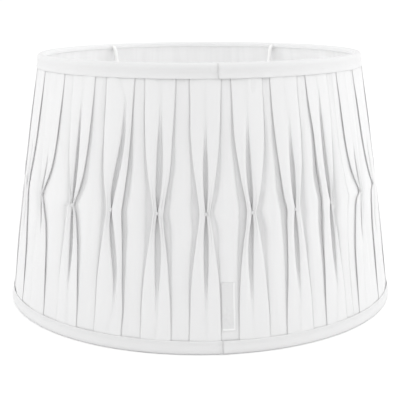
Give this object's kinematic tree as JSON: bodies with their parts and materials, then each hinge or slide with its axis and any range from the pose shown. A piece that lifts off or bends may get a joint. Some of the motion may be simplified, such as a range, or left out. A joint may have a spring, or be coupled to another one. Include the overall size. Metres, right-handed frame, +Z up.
{
  "type": "lamp shade",
  "caption": "Tapered drum lamp shade of box-pleated cloth pinched together at mid height, on a wire frame with a recessed fitter ring.",
  "frame": {"origin": "on the shade's axis, in the plane of the foot of the bottom trim", "axes": "+Z up along the axis, the front of the shade faces -Y, +X to its right in the picture"},
  "size_m": [0.4, 0.4, 0.249],
  "materials": {
    "frame_steel": "white powder coat, satin",
    "cover_cloth": "white, plain weave, matt",
    "lining_cloth": "white, smooth, matt",
    "thread": "white sewing thread",
    "label_tab": "off-white, smooth, matt"
  },
  "bodies": {
    "root": {"top_ring": "frame_steel", "bottom_ring": "frame_steel", "strut_01": "frame_steel", "strut_02": "frame_steel", "strut_03": "frame_steel", "strut_04": "frame_steel", "strut_05": "frame_steel", "strut_06": "frame_steel", "strut_07": "frame_steel", "strut_08": "frame_steel", "strut_09": "frame_steel", "strut_10": "frame_steel", "fitter_arm_1": "frame_steel", "fitter_arm_2": "frame_steel", "fitter_arm_3": "frame_steel", "fitter_arm_4": "frame_steel", "fitter_ring": "frame_steel", "lining": "lining_cloth", "cover_panel_1": "cover_cloth", "cover_panel_2": "cover_cloth", "cover_panel_3": "cover_cloth", "pinch_stitch_01": "thread", "pinch_stitch_02": "thread", "pinch_stitch_03": "thread", "pinch_stitch_04": "thread", "pinch_stitch_05": "thread", "pinch_stitch_06": "thread", "pinch_stitch_07": "thread", "pinch_stitch_08": "thread", "pinch_stitch_09": "thread", "pinch_stitch_10": "thread", "pinch_stitch_11": "thread", "pinch_stitch_12": "thread", "pinch_stitch_13": "thread", "pinch_stitch_14": "thread", "pinch_stitch_15": "thread", "pinch_stitch_16": "thread", "pinch_stitch_17": "thread", "pinch_stitch_18": "thread", "pinch_stitch_19": "thread", "pinch_stitch_20": "thread", "pinch_stitch_21": "thread", "pinch_stitch_22": "thread", "pinch_stitch_23": "thread", "pinch_stitch_24": "thread", "pinch_stitch_25": "thread", "pinch_stitch_26": "thread", "pinch_stitch_27": "thread", "top_trim": "cover_cloth", "bottom_trim": "cover_cloth", "label": "label_tab"}
  },
  "joints": []
}
